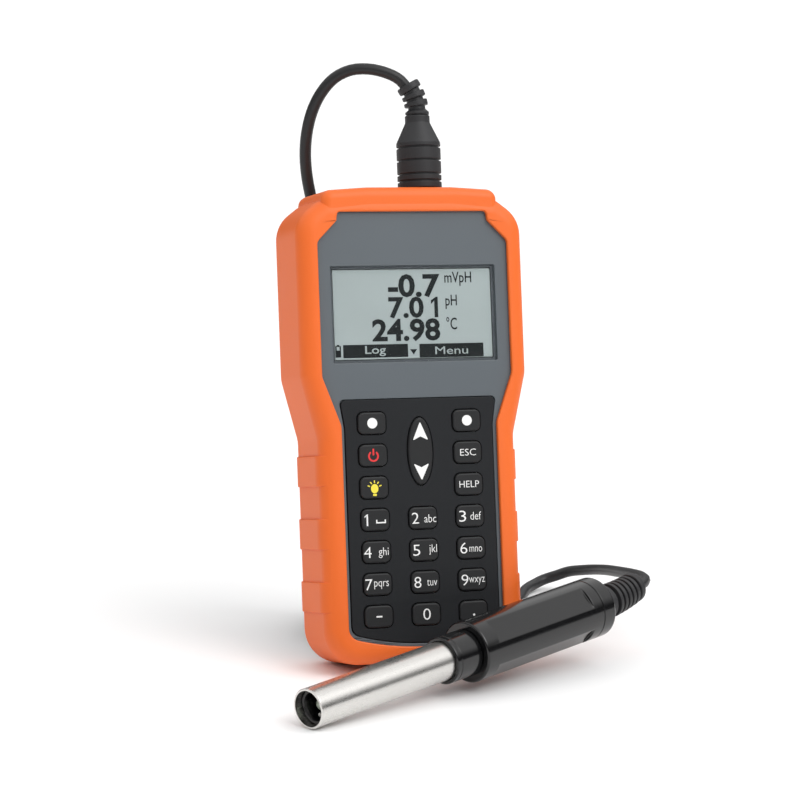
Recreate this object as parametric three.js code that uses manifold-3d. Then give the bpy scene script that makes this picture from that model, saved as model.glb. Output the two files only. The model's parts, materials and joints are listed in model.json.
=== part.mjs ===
// A hand-held water quality probe: a waterproof meter in a rubber boot, its round plug and cable,
// and a stainless probe with a black handle. Millimetres, +Z up, +X to the right of the keypad,
// +Y towards the meter's back. The meter leans back on its coiled cable, and the probe lies in
// front of it. The origin is under the middle of the meter and probe, on the surface they stand on.
import * as THREE from "three";
import { mergeVertices } from "three/addons/utils/BufferGeometryUtils.js";
import Module from "manifold-3d";

const wasm = await Module();
wasm.setup();
const { degToRad } = THREE.MathUtils;

// ---------- driving dimensions ----------
const FIT = 0.3; // clearance between pieces that fit into each other
const SEAT = 0.1; // and under a piece that rests in a recess
const LEAN = degToRad(11);

// Meter: X from its middle, Y from the boot's front rim to its back, Z up from the boot's foot.
const HEIGHT = 184.9;
const HEAD_WIDTH = 93.2;
const BODY_WIDTH = 81.2;
const DEPTH = 35.2;
const WAIST_LOW = 87.5; // between these two heights the body widens to the head
const WAIST_HIGH = 111.5;
const CROWN_WIDTH = 70.8;
const SHOULDER_DROP = 11.9;
const BOOT_WALL = 3.2;
const BOOT_EDGE = 5;
const FOOT_ROUND = 14;
const FACE_DEPTH = 1.8; // the front shell's face lies this far behind the boot's rim
const BACK_LIP = 1.7;
const BACK_RIM = 5.5;
const HEAD_RIM = 7.3; // the boot's front rim beside the screen
const BODY_RIM = 8.4; // and beside the keypad
const GRIP = { count: 3, first: 26.6, pitch: 24.4, height: 12, rise: 0.9, reach: 6 };

const CASE_WALL = 2.2;
const FRONT_WALL = 2.4;
const BACK_WALL = 2.4;
const CASE_EDGE = 2;
const SPLIT_DEPTH = 15.7;
const GASKET = { thick: 1, width: 1.8 };

const SCREEN = { width: 67.6, height: 37, corner: 1, below_top: 49.5, thick: 1.2 };
const LCD = { margin: 1.1, thick: 2.4 };
const BACKLIGHT_THICK = 1.4;
const BOARD = { front: 8, thick: 1.6, bottom: 22, below_top: 20 };

const KEYPAD = { top: 102.3, top_width: 64.4, width: 61, bottom: 7.6, bow: 4.6, rise: 0.3, thick: 1.4, ledge: 1.6 };
const KEY = { width: 11.5, height: 8.5, corner: 2.4, edge: 0.5, rise: 0.9, top_row: 93.2 };
const KEY_PITCH = { across: 19.6, down: 12.45 };
const KEY_TRAVEL = 0.8;
const ROCKER = { width: 10.3, height: 26.4, middle: 81.8, thick: 5 };
const DOME_THICK = 0.5;

const CELL = { radius: 7.25, length: 50.5, gap: 0.6, middle: 55, cap: 2.75, cap_length: 1.2 };
const HOLDER_WALL = 1.2;
const COVER = { side: 2.8, end: 8.5, thick: 1.9, proud: 1.2, corner: 5, edge: 0.6 };
const SEAL = { width: 1.3, thick: 0.8, out: 0.6 };
const SCREW = { head: 2.7, head_thick: 1.5, shank: 1.4, length: 7, boss: 3.3, inset: 4, drive: 1 };

const SOCKET = { x: 10, flange: 8.7, flange_thick: 2.4, barrel: 6.6, bore: 5.6, reach: 9, floor: 2 };
const SOCKET_SEAL = { thick: 0.8, width: 1.4 };
const SOCKET_NUT = { radius: 8.8, thick: 2.6 };
const PLUG = { radius: 8.75, length: 17.9, cone: 8.3, neck: 4.9, neck_length: 2.9, groove: 0.5, groove_height: 0.8 };
const PLUG_GROOVES = [3.2, 6.3, 11.5];
const INSERT = { wall: 1.2, length: 9 };

// Probe: measured along its axis from the open tip of the guard tube.
const PROBE_AT = [-70, -62.2]; // the tip, from the middle of the meter's foot
const PROBE_TURN = degToRad(25.9);
const PROBE_RISE = degToRad(5.5);
const TUBE = { radius: 7.55, wall: 0.8, seen: 69.8, hidden: 11 };
const SENSOR = { recess: 3, hollow: 4.8, hollow_end: 9.6, end: 79 };
const BULB = { radius: 2.4, tip: 5, stem: 1.4, end: 30 };
const PIN = { radius: 0.7, tip: 5.6, offset: 3.7, end: 24 };
const COLLAR = { radius: 9.1, length: 13.4, edge: 0.7 };
const HANDLE = { radius: 12, length: 67.4, wall: 2.6, edge: 1, panel_depth: 1, panel_start: 6.5, panel_length: 54, panels: 4 };
const SIGNAL_BOARD = { width: 12, thick: 1.2, length: 48 };
const CAP = { length: 7, boss: 7.2, edge: 1.4, bore: 3.2 };
const RELIEF_RINGS = 5;
// Probe's strain relief, from the end cap: up, aside and along the axis.
const RELIEF_ROUTE = [[0, 0, 0], [0, 0, 4.5], [0.2, -0.2, 11.5], [0.7, -0.8, 19.5], [1.4, -1.8, 26.2]];

// Plug's strain relief, from the top of its neck: across, back and up.
const PLUG_RELIEF_ROUTE = [[0, 0, 0], [0, 0, 1.4], [-0.5, 0.1, 4], [-1.9, 0.4, 7.4], [-4.1, 1, 10.9]];

// Cable. The two free stretches keep chosen points, in the finished part's frame.
const CABLE = 4.7;
const COIL = { radius: 26, across: 18.8, height: 18.8, off_floor: 1.5, gap: 0.9, aside: 12 };
const TIE = { width: 10, thick: 1.2, angle: degToRad(60), bow: 0.9 };
const LOOP_ROUTE = [
  [-7, 61.4, 225.3], [-9.9, 62.5, 227.9], [-14.7, 64.4, 230.3], [-20.5, 66.7, 231.5], [-26.8, 69.3, 230.6],
  [-32.5, 72.3, 226.8], [-36.9, 75.1, 220.7], [-39.7, 77.7, 212.9], [-40.9, 79.9, 204.1], [-40.7, 81.6, 195.2],
  [-39.3, 82.7, 186.2], [-37.1, 83.3, 177.2], [-34.7, 84.9, 166.5], [-31.8, 87.3, 154], [-28.4, 89.9, 140],
  [-24.8, 92.7, 125], [-21.2, 95.5, 110], [-18, 98.3, 95], [-15.4, 100.9, 80.5], [-13.7, 103.1, 67],
  [-13, 104.7, 55], [-13, 105.1, 43], [-14.2, 103, 33], [-17.8, 96.6, 25.7], [-22.8, 88.1, 23.1],
  [-25.4, 81.8, 23], [-26.3, 75.1, 23], [-25.4, 68.4, 23],
];
const LEAD_ROUTE = [
  [83.6, 19.2, 26.6], [88.1, 23.4, 27], [92.2, 30.3, 26.8], [95, 39.9, 25.8], [97.3, 52, 24], [99.6, 65, 21.8],
  [101.9, 79.1, 19.3], [103.9, 93.2, 16.8], [104.9, 106.3, 14.2], [104, 118.3, 11.5], [101.3, 128.4, 8.8],
  [96.9, 134.5, 6.2], [91.5, 136.5, 4.2], [85.8, 133.1, 2.8], [80.4, 126.2, 2.5], [74.8, 116.8, 2.5],
  [68.7, 105.8, 2.5], [61.9, 94.9, 2.5], [54.2, 84.5, 2.5], [45.4, 74.5, 2.9], [37.5, 66.3, 3.9],
];

// ---------- solids ----------
const BIG = 400;

function solidOf(geometry) {
  const bare = new THREE.BufferGeometry().setAttribute("position", geometry.getAttribute("position"));
  if (geometry.index) bare.setIndex(geometry.index);
  const merged = mergeVertices(bare, 1e-4);
  return new wasm.Manifold(
    new wasm.Mesh({
      numProp: 3,
      vertProperties: merged.getAttribute("position").array,
      triVerts: new Uint32Array(merged.index.array),
    }),
  );
}

function geometryOf(solid) {
  const mesh = solid.getMesh();
  return new THREE.BufferGeometry()
    .setAttribute("position", new THREE.BufferAttribute(mesh.vertProperties, 3))
    .setIndex(new THREE.BufferAttribute(mesh.triVerts, 1));
}

const without = (body, ...tools) => tools.reduce((left, tool) => left.subtract(tool), body);
const joined = (...pieces) => pieces.reduce((sum, piece) => sum.add(piece));

// ---------- outlines: corners [x, z, radius] of the right half, from bottom to top ----------
const bothSides = (half) => [
  ...half,
  ...half.filter(([x]) => x > 0).map(([x, z, r]) => [-x, z, r]).reverse(),
];

function directions(corners) {
  return corners.map(([x, z], i) => {
    const [nx, nz] = corners[(i + 1) % corners.length];
    return new THREE.Vector2(nx - x, nz - z).normalize();
  });
}

// Moves every edge inwards by d. A corner's radius shrinks where it is convex and grows where it isn't.
function inset(corners, d) {
  const along = directions(corners);
  return corners.map(([x, z, r], i) => {
    const before = along[(i + along.length - 1) % along.length];
    const after = along[i];
    const share = d / (1 + before.dot(after));
    const radius = r && Math.max(r - Math.sign(before.cross(after)) * d, 0.3);
    return [x - (before.y + after.y) * share, z + (before.x + after.x) * share, radius];
  });
}

function rounded(corners, step = degToRad(30)) {
  const along = directions(corners);
  return corners.flatMap(([x, z, r], i) => {
    const before = along[(i + along.length - 1) % along.length];
    const after = along[i];
    const turn = Math.atan2(before.cross(after), before.dot(after));
    if (!r || Math.abs(turn) < 0.02) return [new THREE.Vector2(x, z)];
    const back = r * Math.tan(Math.abs(turn) / 2);
    const pieces = Math.max(r > 6 ? 2 : 1, Math.round(Math.abs(turn) / (r < 3 ? 1.5 * step : step)));
    const centre = new THREE.Vector2(x, z)
      .addScaledVector(before, -back)
      .add(new THREE.Vector2(-before.y, before.x).multiplyScalar(r * Math.sign(turn)));
    const first = new THREE.Vector2(x, z).addScaledVector(before, -back).sub(centre);
    return Array.from({ length: pieces + 1 }, (_, k) =>
      first.clone().rotateAround(new THREE.Vector2(), (turn * k) / pieces).add(centre),
    );
  });
}

// A flat-bottomed box outline round (x, z).
function boxOutline(x, z, width, height, corner) {
  const w = width / 2;
  const h = height / 2;
  return [[x - w, z - h, corner], [x + w, z - h, corner], [x + w, z + h, corner], [x - w, z + h, corner]];
}

const bowed = (halfWidth, bottom, bow, pieces = 4) =>
  Array.from({ length: pieces }, (_, k) => [(halfWidth * k) / pieces, bottom + bow * (k / pieces) ** 2, 0]);

// ---------- simple bodies ----------
// An outline between two depths, with its front and back edges rounded.
function plate(corners, front, back, edge = 0, edgeSteps = 2) {
  const geometry = new THREE.ExtrudeGeometry(new THREE.Shape(rounded(corners)), {
    depth: back - front - 2 * edge,
    bevelEnabled: edge > 0,
    bevelThickness: edge,
    bevelSize: edge,
    bevelOffset: -edge,
    bevelSegments: edgeSteps,
    steps: 1,
  });
  geometry.rotateX(Math.PI / 2).translate(0, back - edge, 0);
  return solidOf(geometry);
}

function box(x0, x1, y0, y1, z0, z1) {
  const geometry = new THREE.BoxGeometry(x1 - x0, y1 - y0, z1 - z0);
  return solidOf(geometry.translate((x0 + x1) / 2, (y0 + y1) / 2, (z0 + z1) / 2));
}

// Round bodies about Z, from a profile of [radius, height] that starts and ends on the axis.
function turned(profile, sides = 20) {
  const points = profile.map(([r, h]) => new THREE.Vector2(r, h));
  return solidOf(new THREE.LatheGeometry(points, sides).rotateX(Math.PI / 2));
}

const rod = (radius, low, high, sides) => turned([[0, low], [radius, low], [radius, high], [0, high]], sides);
const ring = (inner, outer, low, high, sides = 20) =>
  without(rod(outer, low, high, sides), rod(inner, low - 1, high + 1, sides));

// The same rod lying along Y.
const crossRod = (radius, x, z, front, back, sides = 10) =>
  solidOf(geometryOf(rod(radius, -back, -front, sides)).rotateX(Math.PI / 2).translate(x, 0, z));

const moved = (solid, x, y, z) => solidOf(geometryOf(solid).translate(x, y, z));

// ---------- scene graph ----------
const ORANGE = new THREE.MeshStandardMaterial({ color: 0xf26a26, roughness: 0.62, metalness: 0 });
const CASE_GREY = new THREE.MeshStandardMaterial({ color: 0x666d72, roughness: 0.45, metalness: 0 });
const KEY_BLACK = new THREE.MeshStandardMaterial({ color: 0x1b1d20, roughness: 0.6, metalness: 0 });
const GLOSS_BLACK = new THREE.MeshStandardMaterial({ color: 0x0c0c0e, roughness: 0.15, metalness: 0 });
const SOFT_BLACK = new THREE.MeshStandardMaterial({ color: 0x28282b, roughness: 0.7, metalness: 0 });
const CLEAR = new THREE.MeshStandardMaterial({
  color: 0xe8f0ee, roughness: 0.05, metalness: 0, transparent: true, opacity: 0.3,
});
const LCD_GREEN = new THREE.MeshStandardMaterial({ color: 0xacb8b9, roughness: 0.35, metalness: 0 });
const MILKY = new THREE.MeshStandardMaterial({ color: 0xe6e8e4, roughness: 0.5, metalness: 0 });
const BOARD_GREEN = new THREE.MeshStandardMaterial({ color: 0x1f5a38, roughness: 0.5, metalness: 0 });
const STEEL = new THREE.MeshStandardMaterial({ color: 0xd8d6d2, roughness: 0.25, metalness: 1 });
const CELL_SKIN = new THREE.MeshStandardMaterial({ color: 0x3b3f45, roughness: 0.35, metalness: 0.6 });
const BULB_GLASS = new THREE.MeshStandardMaterial({ color: 0xdfe6d6, roughness: 0.1, metalness: 0 });

function add(group, name, solid, material) {
  const mesh = new THREE.Mesh(geometryOf(solid), material.clone());
  mesh.name = name;
  group.add(mesh);
  return mesh;
}

// ---------- the meter's outlines ----------
const bootOutline = bothSides([
  [BODY_WIDTH / 2, 0, FOOT_ROUND],
  [BODY_WIDTH / 2, WAIST_LOW, 12],
  [HEAD_WIDTH / 2, WAIST_HIGH, 10],
  [HEAD_WIDTH / 2, HEIGHT - SHOULDER_DROP, 13],
  [CROWN_WIDTH / 2, HEIGHT - 2.1, 6.5],
  [CROWN_WIDTH / 4, HEIGHT, 30],
]);
const caseOutline = inset(bootOutline, BOOT_WALL + FIT);
const caseBack = DEPTH - BACK_LIP - FIT;

const windowTop = HEIGHT - 9.3; // top of the boot's front opening
const faceOpening = bothSides([
  ...bowed(BODY_WIDTH / 2 - BODY_RIM, KEYPAD.bottom - 1.5, KEYPAD.bow),
  [BODY_WIDTH / 2 - BODY_RIM, KEYPAD.bottom - 1.5 + KEYPAD.bow, 5],
  [BODY_WIDTH / 2 - BODY_RIM, WAIST_LOW + 5, 6],
  [HEAD_WIDTH / 2 - HEAD_RIM, WAIST_HIGH, 4],
  [HEAD_WIDTH / 2 - HEAD_RIM, windowTop - 12, 3],
  [HEAD_WIDTH / 2 - HEAD_RIM - 8, windowTop - 4, 1.5],
  [HEAD_WIDTH / 2 - HEAD_RIM - 8.5, windowTop - 0.4, 1.5],
]);
const keypadOutline = bothSides([
  ...bowed(KEYPAD.width / 2, KEYPAD.bottom, KEYPAD.bow),
  [KEYPAD.width / 2, KEYPAD.bottom + KEYPAD.bow, 4],
  [KEYPAD.width / 2, WAIST_LOW + 4, 8],
  [KEYPAD.top_width / 2, KEYPAD.top, 2],
]);
const screenZ = HEIGHT - SCREEN.below_top;
const screenOutline = boxOutline(0, screenZ, SCREEN.width, SCREEN.height, SCREEN.corner);

// Depths of what is stacked behind the face.
const overlayFront = FACE_DEPTH - KEYPAD.rise;
const overlayBack = overlayFront + KEYPAD.thick;
const keyFront = overlayFront - KEY.rise;
const domeFront = BOARD.front - FIT - DOME_THICK;
const keyBack = domeFront - FIT - KEY_TRAVEL;
const windowFront = FACE_DEPTH + FIT;
const lcdFront = windowFront + SCREEN.thick + FIT;
const lightFront = lcdFront + LCD.thick + FIT;

const KEYS = [
  ["soft_left", -1, 0], ["power", -1, 1], ["light", -1, 2], ["1", -1, 3], ["4", -1, 4], ["7", -1, 5],
  ["minus", -1, 6], ["2", 0, 3], ["5", 0, 4], ["8", 0, 5], ["0", 0, 6], ["soft_right", 1, 0],
  ["escape", 1, 1], ["help", 1, 2], ["3", 1, 3], ["6", 1, 4], ["9", 1, 5], ["point", 1, 6],
];
const keyMiddle = (column, row) => [column * KEY_PITCH.across, KEY.top_row - row * KEY_PITCH.down];
const keyOutline = (column, row, gap = 0) =>
  boxOutline(...keyMiddle(column, row), KEY.width + 2 * gap, KEY.height + 2 * gap, KEY.corner + gap);

function rockerOutline(gap = 0, pieces = 16) {
  return Array.from({ length: pieces }, (_, k) => {
    const turn = (2 * Math.PI * k) / pieces;
    const x = (ROCKER.width / 2 + gap) * Math.cos(turn);
    return [x, ROCKER.middle + (ROCKER.height / 2 + gap) * Math.sin(turn), 0];
  });
}

// Battery bay: four cells side by side behind the keypad.
const cellPitch = 2 * CELL.radius + CELL.gap;
const cellAxis = caseBack - BACK_WALL - FIT - HOLDER_WALL - CELL.radius;
const trayRoom = 2 * (2 * FIT + HOLDER_WALL);
const bay = {
  width: 3 * cellPitch + 2 * CELL.radius + trayRoom,
  height: CELL.length + CELL.cap_length + trayRoom,
};
const bayOpening = boxOutline(0, CELL.middle, bay.width, bay.height, 2);
const coverSize = [bay.width + 2 * COVER.side, bay.height + 2 * COVER.end];
const coverOutline = boxOutline(0, CELL.middle, ...coverSize, COVER.corner);
const coverRecess = caseBack + COVER.proud - COVER.thick - SEAT;
const screwPlaces = inset(coverOutline, SCREW.inset).map(([x, z]) => [x, z]);

const crownUnder = HEIGHT - BOOT_WALL - FIT; // top of the case at the socket
const socketY = DEPTH / 2;

// ---------- meter: boot and case ----------
function boot() {
  const outside = plate(bootOutline, 0, DEPTH, BOOT_EDGE, 2);
  const wide = plate(inset(bootOutline, -GRIP.rise), 0.4, DEPTH - 0.4, BOOT_EDGE + 0.5, 2);
  const bands = Array.from({ length: GRIP.count }, (_, k) => GRIP.first + k * GRIP.pitch).flatMap((z) =>
    [-1, 1].map((side) => {
      const edge = side * (BODY_WIDTH / 2 - GRIP.reach);
      const far = side * (BODY_WIDTH / 2 + 5);
      const slab = box(Math.min(edge, far), Math.max(edge, far), -1, DEPTH + 1, z - GRIP.height / 2, z + GRIP.height / 2);
      return wide.intersect(slab);
    }),
  );
  return without(
    joined(outside, ...bands),
    plate(inset(caseOutline, -FIT), FACE_DEPTH - FIT, caseBack + FIT, CASE_EDGE, 1),
    plate(faceOpening, -5, DEPTH / 2),
    plate(inset(bootOutline, BACK_RIM), DEPTH / 2, DEPTH + 5),
    moved(rod(SOCKET.flange + FIT, HEIGHT - 20, HEIGHT + 5), SOCKET.x, socketY, 0),
  );
}

function caseShell() {
  const outside = plate(caseOutline, FACE_DEPTH, caseBack, CASE_EDGE, 1);
  const inside = plate(inset(caseOutline, CASE_WALL), FACE_DEPTH + FRONT_WALL, caseBack - BACK_WALL);
  const socketHole = moved(rod(SOCKET.barrel + FIT, HEIGHT - 20, HEIGHT + 5), SOCKET.x, socketY, 0);
  return without(outside, inside, socketHole);
}

const slice = (front, back) => box(-BIG, BIG, front, back, -BIG, BIG);

function frontShell(shell) {
  const lcdHole = inset(screenOutline, LCD.margin - FIT);
  return without(
    shell.intersect(slice(-1, SPLIT_DEPTH)),
    plate(inset(screenOutline, -FIT), -1, windowFront + SCREEN.thick + SEAT),
    plate(lcdHole, -1, DEPTH / 3),
    plate(inset(keypadOutline, -FIT), -1, overlayBack + FIT),
    plate(inset(keypadOutline, KEYPAD.ledge), -1, DEPTH / 3),
  );
}

function rearShell(shell) {
  const body = shell.intersect(slice(SPLIT_DEPTH + GASKET.thick + 2 * FIT, DEPTH));
  const bosses = screwPlaces.map(([x, z]) =>
    crossRod(SCREW.boss, x, z, caseBack - BACK_WALL - 4, caseBack - BACK_WALL + 0.5),
  );
  const holes = screwPlaces.map(([x, z]) => crossRod(SCREW.shank + FIT, x, z, DEPTH / 2, DEPTH + 1));
  return without(
    joined(body, ...bosses),
    ...holes,
    plate(bayOpening, DEPTH / 2, DEPTH + 1),
    plate(inset(coverOutline, -FIT), coverRecess, DEPTH + 1),
    sealRing(FIT, coverRecess - SEAL.thick - FIT, DEPTH),
  );
}

function caseGasket() {
  const front = SPLIT_DEPTH + FIT;
  const socketHole = moved(rod(SOCKET.barrel + FIT, HEIGHT - 20, HEIGHT + 5), SOCKET.x, socketY, 0);
  return without(
    plate(inset(caseOutline, 0.2), front, front + GASKET.thick),
    plate(inset(caseOutline, 0.2 + GASKET.width), front - 1, front + GASKET.thick + 1),
    socketHole,
  );
}

// ---------- meter: battery bay ----------
function sealRing(gap, front, back) {
  const outer = inset(bayOpening, -SEAL.out - SEAL.width - gap);
  const inner = inset(bayOpening, -SEAL.out + gap);
  return without(plate(outer, front, back), plate(inner, front - 1, back + 1));
}

function batteryCover() {
  const back = caseBack + COVER.proud;
  const body = plate(coverOutline, back - COVER.thick, back, COVER.edge, 1);
  const heads = screwPlaces.map(([x, z]) => crossRod(SCREW.head + FIT, x, z, back - 1, back + 1));
  const shanks = screwPlaces.map(([x, z]) => crossRod(SCREW.shank + FIT, x, z, 0, back + 1));
  return without(body, ...heads, ...shanks);
}

function coverScrew(x, z) {
  const back = caseBack + COVER.proud;
  const seat = back - 1 + FIT;
  const body = joined(
    crossRod(SCREW.head, x, z, seat, seat + SCREW.head_thick - 0.8, 12),
    crossRod(SCREW.shank, x, z, seat - SCREW.length, seat + 0.1, 10),
  );
  return without(body, crossRod(SCREW.drive, x, z, seat + 0.2, back + 2, 6));
}

function batteryHolder() {
  const front = cellAxis - CELL.radius - FIT - HOLDER_WALL;
  const outline = inset(bayOpening, FIT);
  const tray = plate(outline, front, caseBack - BACK_WALL - FIT);
  return without(tray, plate(inset(outline, HOLDER_WALL), front + HOLDER_WALL, DEPTH));
}

function batteryCell(place) {
  const low = -CELL.length / 2;
  const body = turned([
    [0, low], [CELL.radius - 0.4, low], [CELL.radius, low + 0.4], [CELL.radius, -low - 0.4],
    [CELL.radius - 0.4, -low], [CELL.cap, -low], [CELL.cap, -low + CELL.cap_length], [0, -low + CELL.cap_length],
  ], 16);
  return moved(body, (place - 2.5) * cellPitch, cellAxis, CELL.middle - CELL.cap_length / 2);
}

// ---------- meter: socket and plug ----------
function probeSocket() {
  const flangeLow = crownUnder + SOCKET_SEAL.thick + 2 * FIT;
  const top = flangeLow + SOCKET.flange_thick;
  const low = crownUnder - SOCKET.reach;
  const { flange, barrel, bore, floor } = SOCKET;
  const body = turned([
    [0, low], [barrel, low], [barrel, flangeLow], [flange, flangeLow], [flange, top], [bore, top],
    [bore, low + floor], [0, low + floor],
  ]);
  return moved(body, SOCKET.x, socketY, 0);
}

function socketRing(inner, outer, low, high) {
  return moved(ring(inner, outer, low, high), SOCKET.x, socketY, 0);
}

const plugSeat = crownUnder + SOCKET_SEAL.thick + SOCKET.flange_thick + 3 * FIT;
const plugTop = plugSeat + PLUG.length + PLUG.cone + PLUG.neck_length;

function plugBody() {
  const { radius, groove, groove_height: gap } = PLUG;
  const shoulder = plugSeat + PLUG.length;
  const grooves = PLUG_GROOVES.flatMap((z) => [
    [radius, plugSeat + z], [radius - groove, plugSeat + z],
    [radius - groove, plugSeat + z + gap], [radius, plugSeat + z + gap],
  ]);
  const body = turned([
    [0, plugSeat], [radius, plugSeat], ...grooves, [radius, shoulder], [PLUG.neck, shoulder + PLUG.cone],
    [PLUG.neck, plugTop], [0, plugTop],
  ]);
  const core = rod(SOCKET.bore - FIT - INSERT.wall + FIT, plugSeat - 1, plugSeat + 4, 16);
  return moved(without(body, core), SOCKET.x, socketY, 0);
}

function plugInsert() {
  const outer = SOCKET.bore - FIT;
  const low = plugSeat - INSERT.length;
  const { wall } = INSERT;
  const body = turned([
    [0, low + 3], [outer - wall, low + 3], [outer - wall, low], [outer, low], [outer, plugSeat - FIT],
    [outer - wall, plugSeat - FIT], [outer - wall, plugSeat + 3], [0, plugSeat + 3],
  ], 20);
  return moved(body, SOCKET.x, socketY, 0);
}

// A closed round body along a bending route, from stations [share of the route, radius].
function sleeve(route, stations, sides = 12) {
  const path = new THREE.CatmullRomCurve3(route.map((p) => new THREE.Vector3(...p)));
  const rings = stations.map(([share, radius]) => {
    const turn = new THREE.Quaternion().setFromUnitVectors(new THREE.Vector3(0, 0, 1), path.getTangentAt(share));
    const centre = path.getPointAt(share);
    return Array.from({ length: sides }, (_, k) => {
      const angle = (2 * Math.PI * k) / sides;
      const spoke = new THREE.Vector3(radius * Math.cos(angle), radius * Math.sin(angle), 0);
      return spoke.applyQuaternion(turn).add(centre);
    });
  });
  const points = [...rings.flat(), path.getPointAt(stations[0][0]), path.getPointAt(stations.at(-1)[0])];
  const faces = [];
  const last = (rings.length - 1) * sides;
  for (let k = 0; k < sides; k++) {
    const next = (k + 1) % sides;
    for (let low = 0; low < last; low += sides) {
      faces.push(low + k, low + next, low + sides + next, low + k, low + sides + next, low + sides + k);
    }
    faces.push(points.length - 2, next, k, points.length - 1, last + k, last + next);
  }
  return solidOf(new THREE.BufferGeometry().setFromPoints(points).setIndex(faces));
}

// Stations of a smooth base followed by ribs that get smaller along the sleeve.
function ribStations(base, ribs, radius, taper, depth) {
  const pitch = (1 - base) / ribs;
  return [
    [0, radius - 0.1], [base - 0.3 * pitch, radius - 0.1],
    ...Array.from({ length: ribs }, (_, k) => {
      const start = base + k * pitch;
      const rib = radius - taper * k;
      return [
        [start, rib - depth], [start + 0.38 * pitch, rib - depth],
        [start + 0.42 * pitch, rib], [start + 0.98 * pitch, rib],
      ];
    }).flat(),
  ];
}

function plugRelief() {
  const start = new THREE.Vector3(SOCKET.x, socketY, plugTop + FIT);
  const route = PLUG_RELIEF_ROUTE.map((p) => new THREE.Vector3(...p).add(start).toArray());
  return sleeve(route, ribStations(0.14, 4, 4.9, 0.2, 1.1), 10);
}

// ---------- probe, about its own Z axis from the tip ----------
const tubeInner = TUBE.radius - TUBE.wall;
const sensorRadius = tubeInner - FIT;

function sensorBody() {
  const { recess, hollow, hollow_end: bottom, end } = SENSOR;
  const body = turned([
    [0, bottom], [hollow - 0.6, bottom], [hollow, recess + 1.2], [hollow + 0.6, recess],
    [sensorRadius - 0.4, recess], [sensorRadius, recess + 0.4], [sensorRadius, end], [0, end],
  ]);
  const stemHole = rod(BULB.stem + FIT, 0, BULB.end + FIT, 16);
  const pinHole = moved(rod(PIN.radius + FIT, 0, PIN.end + FIT, 12), -PIN.offset, 0, 0);
  return without(body, stemHole, pinHole);
}

function glassBulb() {
  const { radius, tip, stem, end } = BULB;
  const arc = Array.from({ length: 7 }, (_, k) => {
    const turn = (Math.PI * 0.8 * k) / 6;
    return [radius * Math.sin(turn), tip + radius - radius * Math.cos(turn)];
  });
  return turned([...arc, [stem, SENSOR.hollow_end], [stem, end], [0, end]], 16);
}

const handleLow = TUBE.seen + COLLAR.length + FIT;
const handleHigh = handleLow + HANDLE.length;

function handle() {
  const { radius, edge, wall, panel_depth: depth } = HANDLE;
  const body = turned([
    [0, handleLow], [radius - edge, handleLow], [radius, handleLow + edge], [radius, handleHigh], [0, handleHigh],
  ], 24);
  const low = handleLow + HANDLE.panel_start;
  const panels = Array.from({ length: HANDLE.panels }, (_, k) => {
    const slab = new THREE.BoxGeometry(4, 2.2 * Math.sqrt(2 * radius * depth), HANDLE.panel_length)
      .translate(radius - depth + 2, 0, low + HANDLE.panel_length / 2)
      .rotateZ((2 * Math.PI * (k + 0.5)) / HANDLE.panels);
    return solidOf(slab);
  });
  const bore = rod(radius - wall, handleLow + 2, handleHigh + 1, 24);
  const throat = rod(TUBE.radius + FIT, handleLow - 1, handleLow + 3, 24);
  return without(body, ...panels, bore, throat);
}

function endCap() {
  const { length, edge, boss, bore } = CAP;
  const low = handleHigh + FIT;
  const high = low + length;
  const body = turned([
    [0, low], [HANDLE.radius, low], [HANDLE.radius, high - edge], [HANDLE.radius - edge, high], [boss, high],
    [boss, high + 0.01], [0, high + 0.01],
  ], 24);
  return without(body, rod(bore, low - 1, high + 1, 16));
}

function probeRelief() {
  const start = handleHigh + CAP.length + 2 * FIT + 0.01;
  const route = RELIEF_ROUTE.map(([up, aside, along]) => [up, aside, start + along]);
  return sleeve(route, ribStations(0.3, RELIEF_RINGS, 7, 0.3, 1.6));
}

// ---------- cable ----------
function cableTube(points, sides = 8, stepLength = 2.6 * CABLE) {
  const path = new THREE.CatmullRomCurve3(points.map((p) => new THREE.Vector3(...p)));
  const section = Array.from({ length: sides }, (_, k) => {
    const turn = (2 * Math.PI * k) / sides;
    return new THREE.Vector2((CABLE / 2) * Math.cos(turn), (CABLE / 2) * Math.sin(turn));
  });
  return solidOf(
    new THREE.ExtrudeGeometry(new THREE.Shape(section), {
      steps: Math.round(path.getLength() / stepLength),
      extrudePath: path,
    }),
  );
}

const coilBack = (DEPTH + (COIL.off_floor + COIL.height) * Math.sin(LEAN)) / Math.cos(LEAN);
const coilMiddle = coilBack + COIL.gap + COIL.radius + COIL.across / 2;

function cableCoil() {
  const { radius, across, height, off_floor: low } = COIL;
  const inner = radius - across / 2;
  const outer = radius + across / 2;
  const high = low + height;
  const solid = turned([
    [inner, low + 2], [inner + 2, low], [outer - 2, low], [outer, low + 2], [outer, high - 2],
    [outer - 2, high], [inner + 2, high], [inner, high - 2], [inner, low + 2],
  ], 24);
  return moved(solid, COIL.aside, coilMiddle, 0);
}

function coilTie() {
  const { radius, across, height, off_floor: low } = COIL;
  const inner = radius - across / 2 - TIE.bow - FIT;
  const outer = radius + across / 2 + FIT;
  const half = TIE.width / 2;
  const { thick } = TIE;
  const band = without(
    box(inner - thick, outer + thick, -half, half, low - thick - FIT, low + height + FIT + thick),
    box(inner, outer, -half - 1, half + 1, low - FIT, low + height + FIT),
  );
  return solidOf(geometryOf(band).rotateZ(TIE.angle).translate(COIL.aside, coilMiddle, 0));
}

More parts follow.
